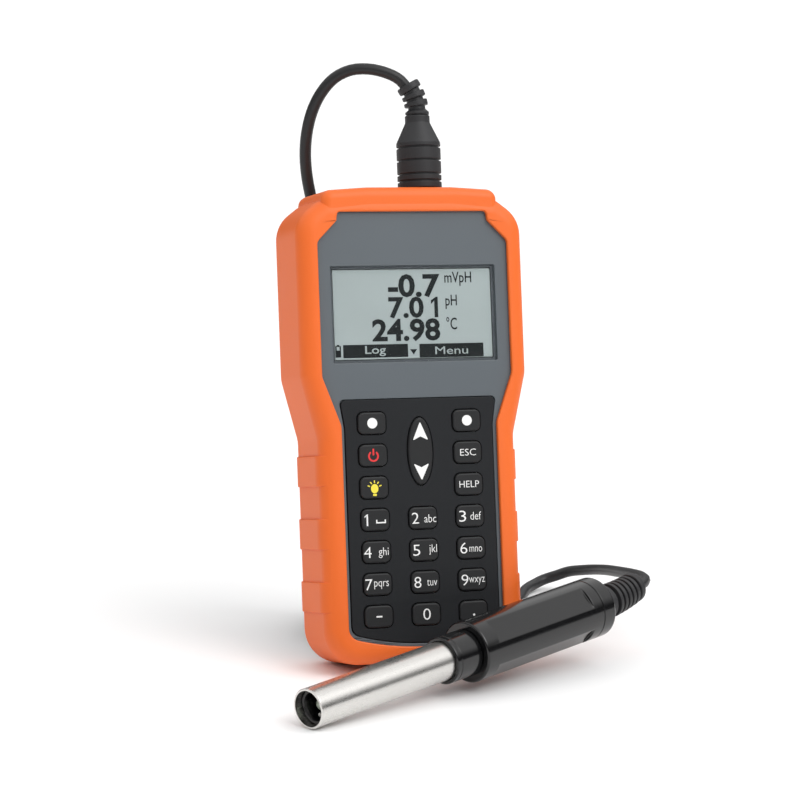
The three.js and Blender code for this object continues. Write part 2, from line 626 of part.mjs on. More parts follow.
// ---------- assembly ----------
function meter() {
  const group = new THREE.Group();
  const shell = caseShell();
  add(group, "rubber_boot", boot(), ORANGE);
  add(group, "front_shell", frontShell(shell), CASE_GREY);
  add(group, "rear_shell", rearShell(shell), CASE_GREY);
  add(group, "case_gasket", caseGasket(), SOFT_BLACK);
  add(group, "display_window", plate(screenOutline, windowFront, windowFront + SCREEN.thick), CLEAR);
  const lcdOutline = inset(screenOutline, LCD.margin);
  add(group, "lcd_panel", plate(lcdOutline, lcdFront, lcdFront + LCD.thick), LCD_GREEN);
  add(group, "lcd_backlight", plate(inset(lcdOutline, -1), lightFront, lightFront + BACKLIGHT_THICK - FIT), MILKY);
  const keyHoles = KEYS.map(([, column, row]) => plate(keyOutline(column, row, FIT), -1, DEPTH / 3));
  const overlay = plate(keypadOutline, overlayFront, overlayBack);
  add(group, "keypad_overlay", without(overlay, plate(rockerOutline(FIT), -1, DEPTH / 3), ...keyHoles), KEY_BLACK);
  for (const [name, column, row] of KEYS)
    add(group, "key_" + name, plate(keyOutline(column, row), keyFront, keyBack, KEY.edge, 1), KEY_BLACK);
  add(group, "arrow_rocker", plate(rockerOutline(), keyFront, keyFront + ROCKER.thick, KEY.edge, 1), KEY_BLACK);
  const domes = boxOutline(0, KEY.top_row - 3 * KEY_PITCH.down, KEYPAD.width - 6, 6.9 * KEY_PITCH.down, 3);
  add(group, "dome_sheet", plate(domes, domeFront, domeFront + DOME_THICK), MILKY);
  const boardHeight = HEIGHT - BOARD.below_top - BOARD.bottom;
  const boardWidth = BODY_WIDTH - 2 * (BOOT_WALL + CASE_WALL + 2 * FIT) - 4;
  const board = boxOutline(0, BOARD.bottom + boardHeight / 2, boardWidth, boardHeight, 4);
  add(group, "main_board", plate(board, BOARD.front + FIT, BOARD.front + FIT + BOARD.thick), BOARD_GREEN);
  add(group, "battery_holder", batteryHolder(), SOFT_BLACK);
  for (const place of [1, 2, 3, 4]) add(group, "battery_" + place, batteryCell(place), CELL_SKIN);
  add(group, "battery_cover", batteryCover(), CASE_GREY);
  add(group, "battery_cover_seal", sealRing(0, coverRecess - SEAL.thick, coverRecess), SOFT_BLACK);
  screwPlaces.forEach(([x, z], k) => add(group, "cover_screw_" + (k + 1), coverScrew(x, z), STEEL));
  add(group, "probe_socket", probeSocket(), SOFT_BLACK);
  const sealLow = crownUnder + FIT;
  const sealOuter = SOCKET.barrel + FIT + SOCKET_SEAL.width;
  add(group, "socket_seal", socketRing(SOCKET.barrel + FIT, sealOuter, sealLow, sealLow + SOCKET_SEAL.thick), SOFT_BLACK);
  const nutHigh = crownUnder - CASE_WALL - FIT;
  const nut = socketRing(SOCKET.barrel + FIT, SOCKET_NUT.radius, nutHigh - SOCKET_NUT.thick, nutHigh);
  add(group, "socket_nut", nut, STEEL);
  add(group, "plug_insert", plugInsert(), STEEL);
  add(group, "plug_body", plugBody(), SOFT_BLACK);
  add(group, "plug_strain_relief", plugRelief(), SOFT_BLACK);
  group.rotation.x = -LEAN;
  group.updateMatrixWorld(true);
  group.position.z = -new THREE.Box3().setFromObject(group, true).min.z;
  return group;
}

function probe() {
  const group = new THREE.Group();
  add(group, "sensor_sleeve", ring(tubeInner, TUBE.radius, 0, TUBE.seen + TUBE.hidden, 24), STEEL);
  add(group, "sensor_body", sensorBody(), GLOSS_BLACK);
  add(group, "glass_bulb", glassBulb(), BULB_GLASS);
  add(group, "temperature_pin", moved(rod(PIN.radius, PIN.tip, PIN.end, 12), -PIN.offset, 0, 0), STEEL);
  const collar = turned([
    [0, TUBE.seen], [COLLAR.radius - COLLAR.edge, TUBE.seen], [COLLAR.radius, TUBE.seen + COLLAR.edge],
    [COLLAR.radius, TUBE.seen + COLLAR.length], [0, TUBE.seen + COLLAR.length],
  ], 24);
  add(group, "sleeve_collar", without(collar, rod(TUBE.radius + FIT, 0, handleLow, 24)), GLOSS_BLACK);
  add(group, "probe_handle", handle(), GLOSS_BLACK);
  const half = SIGNAL_BOARD.width / 2;
  const boardLow = handleLow + 10;
  const { thick, length } = SIGNAL_BOARD;
  add(group, "signal_board", box(-thick / 2, thick / 2, -half, half, boardLow, boardLow + length), BOARD_GREEN);
  add(group, "handle_end_cap", endCap(), GLOSS_BLACK);
  add(group, "probe_strain_relief", probeRelief(), SOFT_BLACK);

  const axis = new THREE.Vector3(
    Math.cos(PROBE_TURN) * Math.cos(PROBE_RISE),
    Math.sin(PROBE_TURN) * Math.cos(PROBE_RISE),
    Math.sin(PROBE_RISE),
  );
  const up = new THREE.Vector3(0, 0, 1).addScaledVector(axis, -axis.z).normalize();
  group.quaternion.setFromRotationMatrix(new THREE.Matrix4().makeBasis(up, axis.clone().cross(up), axis));
  group.position.set(...PROBE_AT, TUBE.radius * Math.cos(PROBE_RISE));
  return group;
}

const root = new THREE.Group();
const instrument = new THREE.Group();
instrument.add(meter(), probe());
root.add(instrument);

// The origin goes under the middle of what stands without the cable.
instrument.updateMatrixWorld(true);
const stands = new THREE.Box3();
instrument.traverse((mesh) => {
  if (mesh.isMesh && !mesh.name.startsWith("plug_")) stands.expandByObject(mesh, true);
});
const middle = stands.getCenter(new THREE.Vector3());
instrument.position.set(-middle.x, -middle.y, -stands.min.z);

const storedCable = new THREE.Group();
add(storedCable, "cord_coil", cableCoil(), SOFT_BLACK);
add(storedCable, "coil_tie", coilTie(), SOFT_BLACK);
storedCable.position.set(-middle.x, -middle.y, 0);
root.add(storedCable);
add(root, "cord_loop", cableTube(LOOP_ROUTE), SOFT_BLACK);
add(root, "cord_lead", cableTube(LEAD_ROUTE), SOFT_BLACK);

export default root;
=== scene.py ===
# A water quality probe: a hand-held meter in an orange rubber boot, leaning back on its coiled
# cable, with its stainless probe lying in front of it.
import json
import math

import bpy
from mathutils import Matrix, Vector


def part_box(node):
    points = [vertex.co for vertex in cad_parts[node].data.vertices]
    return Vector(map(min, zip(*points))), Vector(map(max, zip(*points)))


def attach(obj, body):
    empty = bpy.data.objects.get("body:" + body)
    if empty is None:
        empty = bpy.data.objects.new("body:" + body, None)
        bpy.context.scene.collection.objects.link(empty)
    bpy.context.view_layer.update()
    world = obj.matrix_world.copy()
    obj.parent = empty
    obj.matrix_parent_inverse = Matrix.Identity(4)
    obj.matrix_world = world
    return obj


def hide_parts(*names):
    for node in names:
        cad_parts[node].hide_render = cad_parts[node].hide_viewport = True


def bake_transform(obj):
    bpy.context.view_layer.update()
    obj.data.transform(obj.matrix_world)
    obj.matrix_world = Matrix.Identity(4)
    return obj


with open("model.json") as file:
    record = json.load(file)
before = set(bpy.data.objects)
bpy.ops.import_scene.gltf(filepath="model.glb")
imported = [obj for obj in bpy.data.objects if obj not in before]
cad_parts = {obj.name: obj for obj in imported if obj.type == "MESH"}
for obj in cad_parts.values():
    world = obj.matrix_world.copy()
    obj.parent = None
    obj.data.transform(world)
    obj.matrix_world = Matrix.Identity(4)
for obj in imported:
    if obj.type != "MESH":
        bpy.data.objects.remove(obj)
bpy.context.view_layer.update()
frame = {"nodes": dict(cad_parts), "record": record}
bpy.ops.object.select_all(action="DESELECT")

MM = 0.001
ROOT = "meter_and_probe"

# ---------- where things stand ----------
# Meter sizes are in millimetres from the middle of its foot: x across, y from the boot's front
# rim to its back, z up the meter. Probe sizes run along its axis from the tip.
LEAN = math.radians(11)
DEPTH = 35.2
HEIGHT = 184.9
foot = Vector(frame["record"]["mounts"][0]["pos_m"])
METER = (
    Matrix.Translation(foot)
    @ Matrix.Rotation(-LEAN, 4, "X")
    @ Matrix.Translation((0, -DEPTH / 2 * MM, 0))
)

PROBE_TURN = math.radians(25.9)
PROBE_RISE = math.radians(5.5)
SLEEVE_LENGTH = 80.8
axis = Vector((
    math.cos(PROBE_TURN) * math.cos(PROBE_RISE),
    math.sin(PROBE_TURN) * math.cos(PROBE_RISE),
    math.sin(PROBE_RISE),
))
upward = (Vector((0, 0, 1)) - axis * axis.z).normalized()
aside = axis.cross(upward)
sleeve_low, sleeve_high = (Vector(corner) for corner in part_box("sensor_sleeve"))
tip = (sleeve_low + sleeve_high) / 2 - axis * SLEEVE_LENGTH / 2 * MM
PROBE = Matrix.Translation(tip) @ Matrix((upward, aside, axis)).transposed().to_4x4()

# ---------- camera ----------
CAMERA_PLACE = Vector((-0.417, -1.0582, 0.2868))
CAMERA_TURN = math.radians(20.21)
CAMERA_TILT = math.radians(8.96)
CAMERA_ROLL = math.radians(1.64)
bpy.ops.object.camera_add(location=CAMERA_PLACE)
camera = bpy.context.object
camera.matrix_world = (
    Matrix.Translation(CAMERA_PLACE)
    @ Matrix.Rotation(-CAMERA_TURN, 4, "Z")
    @ Matrix.Rotation(math.pi / 2 - CAMERA_TILT, 4, "X")
    @ Matrix.Rotation(CAMERA_ROLL, 4, "Z")
)
camera.data.lens = 135
camera.data.sensor_width = 36
camera.data.clip_end = 100
bpy.context.scene.camera = camera


# ---------- finishes ----------
class Value:
    """A value in a material. Arithmetic on it adds Math nodes."""

    def __init__(self, finish, socket):
        self.finish = finish
        self.socket = socket

    def math(self, operation, first, second):
        return self.finish.node("Math", {"operation": operation}, {0: first, 1: second})

    def __add__(self, other):
        return self.math("ADD", self, other)

    def __mul__(self, other):
        return self.math("MULTIPLY", self, other)

    def __gt__(self, other):
        return self.math("GREATER_THAN", self, other)


class Finish:
    """A material on one Principled BSDF, with constants set on its own sockets."""

    def __init__(self, name, **constants):
        self.material = bpy.data.materials.new(name)
        self.material.use_nodes = True
        self.nodes = self.material.node_tree.nodes
        self.links = self.material.node_tree.links
        self.surface = self.nodes["Principled BSDF"]
        for socket, value in constants.items():
            self.surface.inputs[socket.replace("_", " ")].default_value = value
        self.place = self.node("TexCoord", out="Object")

    def node(self, kind, settings=None, inputs=None, out=0):
        made = self.nodes.new("ShaderNode" + kind)
        for key, value in (settings or {}).items():
            setattr(made, key, value)
        for key, value in (inputs or {}).items():
            if isinstance(value, Value):
                self.links.new(value.socket, made.inputs[key])
            else:
                made.inputs[key].default_value = value
        return Value(self, made.outputs[out])

    def noise(self, size_mm, detail=2, place=None):
        """Even mottling from 0 to 1, with patches of about the given size."""
        inputs = {"Vector": place or self.place, "Scale": 0.5 / (size_mm * MM), "Detail": detail}
        return self.node("TexNoise", None, inputs, "Fac")

    def blend(self, mask, first, second):
        settings = {"data_type": "RGBA"}
        inputs = {0: mask, 6: (*first, 1), 7: (*second, 1)}
        return self.node("Mix", settings, inputs, 2)

    def drive(self, socket, value):
        self.links.new(value.socket, self.surface.inputs[socket])

    def relief(self, height, depth_mm):
        inputs = {"Height": height, "Distance": depth_mm * MM, "Strength": 1.0}
        self.drive("Normal", self.node("Bump", None, inputs, "Normal"))


def plain_finish(name, light, dark, rough, patch_mm, grain_mm, grain_depth_mm, **constants):
    """A moulded finish: slow colour drift, uneven gloss and a fine grain."""
    finish = Finish(name, **constants)
    drift = finish.noise(patch_mm, 3)
    grain = finish.noise(grain_mm, 3)
    finish.drive("Base Color", finish.blend(drift * 0.7 + grain * 0.3, dark, light))
    finish.drive("Roughness", drift * 0.06 + grain * 0.06 + (rough - 0.06))
    finish.relief(grain, grain_depth_mm)
    return finish.material


orange = plain_finish(
    "orange_rubber", (0.82, 0.143, 0.014), (0.76, 0.126, 0.011),
    0.5, 14, 0.35, 0.03, Specular_IOR_Level=0.45,
)
case_grey = plain_finish(
    "case_grey", (0.102, 0.119, 0.132), (0.088, 0.103, 0.116),
    0.42, 20, 0.25, 0.012,
)
mat_black = plain_finish(
    "keypad_rubber", (0.0105, 0.0118, 0.014), (0.008, 0.009, 0.0108),
    0.5, 12, 0.2, 0.01, Specular_IOR_Level=0.25,
)
key_black = plain_finish(
    "key_rubber", (0.0155, 0.016, 0.017), (0.012, 0.0123, 0.0135),
    0.48, 8, 0.2, 0.012, Specular_IOR_Level=0.3,
)
soft_black = plain_finish(
    "soft_black", (0.027, 0.027, 0.029), (0.018, 0.018, 0.0195),
    0.5, 6, 0.22, 0.03, Specular_IOR_Level=0.35,
)
cable_black = plain_finish(
    "cable_jacket", (0.018, 0.018, 0.019), (0.012, 0.012, 0.013),
    0.42, 9, 0.3, 0.02, Specular_IOR_Level=0.35,
)
gloss_black = plain_finish(
    "gloss_black", (0.0045, 0.0045, 0.005), (0.003, 0.003, 0.0035),
    0.17, 18, 3.5, 0.006, Coat_Weight=0.1, Coat_Roughness=0.06,
)
seal_black = plain_finish(
    "seal_rubber", (0.03, 0.03, 0.03), (0.02, 0.02, 0.02),
    0.7, 5, 0.3, 0.03,
)
milky = plain_finish(
    "milky_plastic", (0.8, 0.81, 0.78), (0.74, 0.75, 0.72),
    0.45, 10, 0.6, 0.01,
)
board_green = plain_finish(
    "board_green", (0.02, 0.12, 0.05), (0.012, 0.09, 0.035),
    0.4, 2.5, 0.5, 0.02,
)
white_ink = plain_finish(
    "white_ink", (0.86, 0.86, 0.85), (0.8, 0.8, 0.79),
    0.5, 4, 0.25, 0.004,
)
red_ink = plain_finish(
    "red_ink", (0.75, 0.03, 0.03), (0.66, 0.022, 0.024),
    0.5, 4, 0.25, 0.004,
)
yellow_ink = plain_finish(
    "yellow_ink", (0.88, 0.75, 0.06), (0.8, 0.68, 0.05),
    0.5, 4, 0.25, 0.004,
)
dot_dark = plain_finish(
    "display_dark", (0.01, 0.014, 0.015), (0.008, 0.011, 0.012),
    0.5, 6, 0.25, 0.002, Specular_IOR_Level=0.2,
)


def steel_finish():
    """Ground tube: fine scratches round it, and a slow drift in their gloss."""
    finish = Finish("ground_steel", Metallic=1.0)
    turn = PROBE.to_3x3().to_4x4().inverted().to_euler()
    lined = finish.node("Mapping", None, {"Vector": finish.place, "Rotation": turn, "Scale": (1, 1, 30)})
    scratches = finish.noise(1.2, 4, lined)
    drift = finish.noise(9, 2)
    finish.drive("Base Color", finish.blend(scratches, (0.64, 0.625, 0.6), (0.7, 0.685, 0.66)))
    finish.drive("Roughness", scratches * 0.12 + drift * 0.06 + 0.2)
    finish.relief(scratches, 0.002)
    return finish.material


def display_finish():
    """A reflective liquid crystal: pale green-grey with a faint grid of unlit dots."""
    finish = Finish("liquid_crystal", Specular_IOR_Level=0.35)
    squared = finish.node("Mapping", None, {"Vector": finish.place, "Rotation": (LEAN, 0, 0)})
    axes = {"X": None, "Z": None}
    for letter in axes:
        along = finish.node("SeparateXYZ", None, {0: squared}, letter)
        step = finish.node("Math", {"operation": "FRACT"}, {0: along * (1 / (0.47 * MM))})
        axes[letter] = step > 0.86
    grid = finish.node("Math", {"operation": "MAXIMUM"}, {0: axes["X"], 1: axes["Z"]})
    drift = finish.noise(30, 2)
    shade = grid * 0.25 + drift * 0.4
    finish.drive("Base Color", finish.blend(shade, (0.41, 0.475, 0.475), (0.35, 0.41, 0.41)))
    finish.drive("Roughness", grid * 0.1 + 0.4)
    return finish.material


def glass_finish(name, tint, alpha, rough):
    finish = Finish(name, IOR=1.5)
    smear = finish.noise(12, 3)
    finish.drive("Base Color", finish.blend(smear, tint, tuple(0.94 * part for part in tint)))
    finish.drive("Roughness", smear * 0.04 + rough)
    finish.drive("Alpha", smear * 0.04 + alpha)
    return finish.material


def cell_finish():
    """A battery's printed can: dark with a copper-coloured end."""
    finish = Finish("battery_can", Metallic=0.6)
    squared = finish.node("Mapping", None, {"Vector": finish.place, "Rotation": (LEAN, 0, 0)})
    height = finish.node("SeparateXYZ", None, {0: squared}, "Z")
    end = height > 0.071
    fleck = finish.noise(0.8, 2)
    finish.drive("Base Color", finish.blend(end, (0.03, 0.034, 0.045), (0.5, 0.24, 0.08)))
    finish.drive("Roughness", fleck * 0.1 + 0.28)
    return finish.material


steel = steel_finish()
liquid_crystal = display_finish()
window_clear = glass_finish("window_clear", (0.03, 0.034, 0.034), 0.03, 0.03)
bulb_glass = glass_finish("bulb_glass", (0.72, 0.8, 0.66), 0.55, 0.04)
battery_can = cell_finish()


# ---------- outlines: corners [x, z, radius] of the right half, from bottom to top ----------
def both_sides(half):
    return half + [(-x, z, r) for x, z, r in reversed(half) if x > 0]


def directions(corners):
    turned = corners[1:] + corners[:1]
    return [Vector((b[0] - a[0], b[1] - a[1])).normalized() for a, b in zip(corners, turned)]


def inset(corners, distance):
    """Move every edge inwards; convex radii shrink and concave ones grow."""
    along = directions(corners)
    moved = []
    for (x, z, r), before, after in zip(corners, along[-1:] + along[:-1], along):
        share = distance / (1 + before.dot(after))
        bend = before.x * after.y - before.y * after.x
        radius = r and max(r - math.copysign(distance, bend), 0.3)
        moved.append((x - (before.y + after.y) * share, z + (before.x + after.x) * share, radius))
    return moved


def rounded(corners, step=math.radians(7.5), closed=True):
    along = directions(corners)
    points = []
    for i, (x, z, r) in enumerate(corners):
        before, after = along[i - 1], along[i]
        turn = math.atan2(before.x * after.y - before.y * after.x, before.dot(after))
        end = not closed and i in (0, len(corners) - 1)
        if not r or abs(turn) < 0.02 or end:
            points.append((x, z))
            continue
        back = r * math.tan(abs(turn) / 2)
        count = max(2, round(abs(turn) / step))
        side = math.copysign(r, turn)
        centre = Vector((x, z)) - before * back + Vector((-before.y, before.x)) * side
        start = Vector((before.y, -before.x)) * side
        for k in range(count + 1):
            angle = turn * k / count
            spoke = Vector((
                start.x * math.cos(angle) - start.y * math.sin(angle),
                start.x * math.sin(angle) + start.y * math.cos(angle),
            ))
            points.append(tuple(centre + spoke))
    return points


def box_outline(x, z, width, height, corner):
    w, h = width / 2, height / 2
    return [
        (x - w, z - h, corner), (x + w, z - h, corner),
        (x + w, z + h, corner), (x - w, z + h, corner),
    ]


def oval_outline(x, z, width, height, count=64):
    turns = [2 * math.pi * k / count for k in range(count)]
    return [(x + width / 2 * math.cos(t), z + height / 2 * math.sin(t), 0) for t in turns]


def bowed(half_width, bottom, bow, count=6):
    return [(half_width * k / count, bottom + bow * (k / count) ** 2, 0) for k in range(count)]


# ---------- making pieces ----------
def pick(*objects):
    bpy.ops.object.select_all(action="DESELECT")
    for each in objects:
        each.select_set(True)
    bpy.context.view_layer.objects.active = objects[0]


def settle(piece, place):
    """Turn the piece by a matrix, and keep the result in its mesh."""
    pick(piece)
    piece.matrix_world = place @ piece.matrix_world
    bpy.ops.object.transform_apply(location=True, rotation=True, scale=True)
    return piece


def clean(piece):
    """Merge doubled points and face everything outwards."""
    pick(piece)
    bpy.ops.object.mode_set(mode="EDIT")
    bpy.ops.mesh.select_all(action="SELECT")
    bpy.ops.mesh.remove_doubles(threshold=2e-6)
    bpy.ops.mesh.normals_make_consistent(inside=False)
    bpy.ops.object.mode_set(mode="OBJECT")
    return piece


def drawn(name, loops, closed=True, plane="2D"):
    """A curve through points in millimetres, one spline a loop; holes run the other way round."""
    line = bpy.data.curves.new(name, "CURVE")
    line.dimensions = plane
    if plane == "2D":
        line.fill_mode = "BOTH"
    for loop in loops:
        spline = line.splines.new("POLY")
        spline.points.add(len(loop) - 1)
        for point, place in zip(spline.points, loop):
            point.co = (*(part * MM for part in place), *([0] * (3 - len(place))), 1)
        spline.use_cyclic_u = closed
    piece = bpy.data.objects.new(name, line)
    bpy.context.collection.objects.link(piece)
    return piece


UPRIGHT = Matrix.Rotation(math.pi / 2, 4, "X")  # a flat drawing stands up and faces the front
INK = 0.04          # how far printing stands proud


def plate(name, outlines, front, back, edge=0.0, steps=4):
    """A plate between two depths, from its outline and its holes, with rounded front and back edges."""
    loops = [rounded(outlines[0])] + [list(reversed(rounded(hole))) for hole in outlines[1:]]
    piece = drawn(name, loops)
    piece.data.extrude = ((back - front) / 2 - edge) * MM
    piece.data.bevel_depth = edge * MM
    piece.data.bevel_resolution = steps - 1
    piece.data.offset = -edge * MM
    pick(piece)
    bpy.ops.object.convert(target="MESH")
    piece = bpy.context.object
    settle(piece, Matrix.Translation((0, (front + back) / 2 * MM, 0)) @ UPRIGHT)
    return clean(piece)


def lathe(name, profile, steps=72):
    """A round body about Z from corners [radius, height, rounding]."""
    line = [(r, 0, h) for r, h in rounded(profile, math.radians(12), closed=False)]
    piece = drawn(name, [line], closed=False, plane="3D")
    pick(piece)
    bpy.ops.object.convert(target="MESH")
    piece = bpy.context.object
    screw = piece.modifiers.new("spin", "SCREW")
    screw.axis = "Z"
    screw.steps = screw.render_steps = steps
    screw.use_merge_vertices = True
    screw.merge_threshold = 1e-6
    bpy.ops.object.modifier_apply(modifier="spin")
    return clean(piece)


def combine(piece, operation, *tools):
    for tool in tools:
        pick(piece)
        change = piece.modifiers.new("change", "BOOLEAN")
        change.operation = operation
        change.solver = "EXACT"
        change.object = tool
        bpy.ops.object.modifier_apply(modifier="change")
        bpy.data.objects.remove(tool)
    return piece


def cut(piece, *tools):
    return combine(piece, "DIFFERENCE", *tools)


def fuse(piece, *others):
    return combine(piece, "UNION", *others)


def soften(piece, chosen, width, segments=3):
    """Bevel the edges whose two ends both pass a test on their place in millimetres."""
    pick(piece)
    bpy.ops.object.mode_set(mode="EDIT")
    bpy.ops.mesh.select_mode(type="EDGE")
    bpy.ops.mesh.select_all(action="DESELECT")
    bpy.ops.object.mode_set(mode="OBJECT")
    mesh = piece.data
    good = [chosen(*(vertex.co / MM)) for vertex in mesh.vertices]
    for edge in mesh.edges:
        edge.select = all(good[i] for i in edge.vertices)
    bpy.ops.object.mode_set(mode="EDIT")
    bpy.ops.mesh.bevel(offset=width * MM, segments=segments, profile=0.5, affect="EDGES")
    bpy.ops.object.mode_set(mode="OBJECT")
    return piece


def block(name, low, high):
    size = [(b - a) * MM for a, b in zip(low, high)]
    middle = [(a + b) / 2 * MM for a, b in zip(low, high)]
    bpy.ops.object.select_all(action="DESELECT")
    bpy.ops.mesh.primitive_cube_add(size=1, location=middle)
    piece = bpy.context.object
    piece.name = name
    piece.scale = size
    bpy.ops.object.transform_apply(location=True, rotation=True, scale=True)
    return piece


def joined(name, pieces):
    pick(*pieces)
    if len(pieces) > 1:
        bpy.ops.object.join()
    piece = bpy.context.object
    piece.name = name
    return piece


CAPITAL = 0.73      # how tall a capital is in a font of size 1
TEXT_DEPTH = 0.02


def lettered(name, body, size, place, front, weight, width):
    """Printed characters, standing upright just in front of a face. size is their capital height."""
    bpy.ops.object.select_all(action="DESELECT")
    bpy.ops.object.text_add()
    piece = bpy.context.object
    piece.name = name
    words = piece.data
    words.body = body
    words.size = 1.0
    words.align_x = "CENTER"
    words.align_y = "CENTER"
    words.offset = weight
    words.resolution_u = 3
    words.extrude = TEXT_DEPTH / 2
    bpy.ops.object.convert(target="MESH")
    piece = bpy.context.object
    xs = [v.co.x for v in piece.data.vertices]
    ys = [v.co.y for v in piece.data.vertices]
    tall = size / CAPITAL * MM
    wide = width * MM / (max(xs) - min(xs))
    piece.location = (-(max(xs) + min(xs)) / 2 * wide, -(max(ys) + min(ys)) / 2 * tall, 0)
    piece.scale = (wide, tall, INK * MM / TEXT_DEPTH)
    bpy.ops.object.transform_apply(location=True, rotation=True, scale=True)
    settle(piece, Matrix.Translation((place[0] * MM, (front - INK / 2) * MM, place[1] * MM)) @ UPRIGHT)
    return clean(piece)


def done(piece, finish, body, place, replaces=(), sharp=32):
    """The last steps for every piece: its place, shading, finish and body, where it has one."""
    if place is not None:
        settle(piece, place)
    pick(piece)
    piece.data.materials.clear()
    piece.data.materials.append(finish)
    bpy.ops.object.shade_smooth_by_angle(angle=math.radians(sharp))
    weigh = piece.modifiers.new("weigh", "WEIGHTED_NORMAL")
    weigh.keep_sharp = True
    bpy.ops.object.modifier_apply(modifier="weigh")
    if body:
        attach(piece, body)
    if replaces:
        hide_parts(*replaces)
    return piece


# ---------- cable ----------
CABLE = 4.7
LOOP_ROUTE = [
    (-7, 61.4, 225.3), (-9.9, 62.5, 227.9), (-14.7, 64.4, 229.9), (-20.5, 66.7, 230.9),
    (-26.8, 69.3, 230.2), (-32.5, 72.3, 226.8), (-36.9, 75.1, 220.7), (-39.7, 77.7, 212.9),
    (-40.9, 79.9, 204.1), (-40.7, 81.6, 195.2), (-39.3, 82.7, 186.2), (-37.1, 83.3, 177.2),
    (-34.7, 84.9, 166.5), (-31.8, 87.3, 154), (-28.4, 89.9, 140), (-24.8, 92.7, 125),
    (-21.2, 95.5, 110), (-18, 98.3, 95), (-15.4, 100.9, 80.5), (-13.7, 103.1, 67), (-13, 104.7, 55),
    (-13, 105.1, 43), (-14.2, 103, 33), (-17.8, 96.6, 25.7), (-22.8, 88.1, 21.9), (-26.4, 82, 20),
    (-28.4, 75.2, 18.5),
]
LEAD_ROUTE = [
    (83.6, 19.2, 26.6), (88.1, 23.4, 27), (92.2, 30.3, 26.8), (95, 39.9, 25.8), (97.3, 52, 24),
    (99.6, 65, 21.8), (101.9, 79.1, 19.3), (103.9, 93.2, 16.8), (104.9, 106.3, 14.2),
    (104, 118.3, 11.5), (101.3, 128.4, 8.8), (96.9, 132.4, 6.3), (91.5, 134.1, 4.3), (85.8, 131.4, 2.9),
    (80.4, 126.2, 2.5), (74.8, 116.8, 2.5), (68.7, 105.8, 2.5), (61.9, 94.9, 2.5), (54.2, 84.5, 2.5),
    (45.4, 74.5, 2.9), (37.5, 66.3, 3.9),
]
COIL_MIDDLE = (-0.2, 76.2)
COIL_START = math.radians(-44)
COIL_END = math.radians(-163)
COIL_FLOOR = 1.5
COIL_RADII = [33.05, 28.35, 23.65, 18.95]
COIL_TURNS = 14


def smooth_line(points, spacing):
    """Points along a Catmull-Rom curve through the given ones, about a spacing apart."""
    line = [Vector(p) for p in points]
    line = [2 * line[0] - line[1]] + line + [2 * line[-1] - line[-2]]
    found = []
    for a, b, c, d in zip(line, line[1:], line[2:], line[3:]):
        count = max(1, round((c - b).length / spacing))
        for k in range(count):
            t = k / count
            found.append(0.5 * (
                2 * b + (c - a) * t + (2 * a - 5 * b + 4 * c - d) * t**2 + (3 * b - a - 3 * c + d) * t**3
            ))
    return found + [line[-2]]


def coil_line():
    """Turns laid side by side from the outside in, then back out on top, winding up clockwise."""
    span = 2 * math.pi * COIL_TURNS + (COIL_START - COIL_END)
    count = int(span / math.radians(7.5))
    order = [0, 1, 2, 3, 3, 2, 1, 0, 0, 1, 2, 3, 3, 2, 1]
    points = []
    for k in range(count + 1):
        turned = span * k / count
        now = min(int(turned / (2 * math.pi)), len(order) - 1)
        after = min(now + 1, len(order) - 1)
        part = min(max((turned / (2 * math.pi) - now - 0.82) / 0.18, 0), 1)
        part = part * part * (3 - 2 * part)
        radius = COIL_RADII[order[now]] + (COIL_RADII[order[after]] - COIL_RADII[order[now]]) * part
        height = CABLE * (now // 4 + (after // 4 - now // 4) * part) + COIL_FLOOR + CABLE / 2
        angle = COIL_START - turned
        points.append(Vector((
            COIL_MIDDLE[0] + radius * math.cos(angle),
            COIL_MIDDLE[1] + radius * math.sin(angle),
            height,
        )))
    return points


def tube(name, points, radius):
    line = drawn(name, [[tuple(p) for p in points]], closed=False, plane="3D")
    line.data.bevel_depth = radius * MM
    line.data.bevel_resolution = 3
    line.data.use_fill_caps = True
    line.data.twist_mode = "MINIMUM"
    pick(line)
    bpy.ops.object.convert(target="MESH")
    return clean(bpy.context.object)


coil = coil_line()
lead = smooth_line([*LEAD_ROUTE, (30.5, 59.7, 3.9), coil[0]], 2.2)[:-1]
loop = smooth_line([*reversed(LOOP_ROUTE), (-4.4, 60.5, 221)], 2.2)
cable_line = lead + coil + loop
cable = tube("cable", cable_line, CABLE / 2)
done(cable, cable_black, None, None, ["cord_loop", "cord_coil", "cord_lead"], sharp=60)
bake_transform(cable)

# ---------- meter sizes ----------
BOOT_EDGE = 6.3
FACE = 1.8          # the case's face, behind the boot's front rim
CASE_BACK = 33.2
SPLIT = 15.7
SOCKET_X = 10
SOCKET_Y = DEPTH / 2
GRIP_RISE = 0.9
GRIP_HEIGHT = 12
GRIPS = [26.6, 51, 75.4]
MAT_FRONT = 1.5
KEY_FRONT = 0.6
KEY_BACK = 6.1
WINDOW = [2.1, 3.3]
LCD = [3.6, 6.0]

boot_outline = both_sides([
    (40.6, 0, 14), (40.6, 87.5, 12), (46.6, 111.5, 10),
    (46.6, 173, 13), (35.4, 182.8, 8), (17.7, HEIGHT, 30),
])
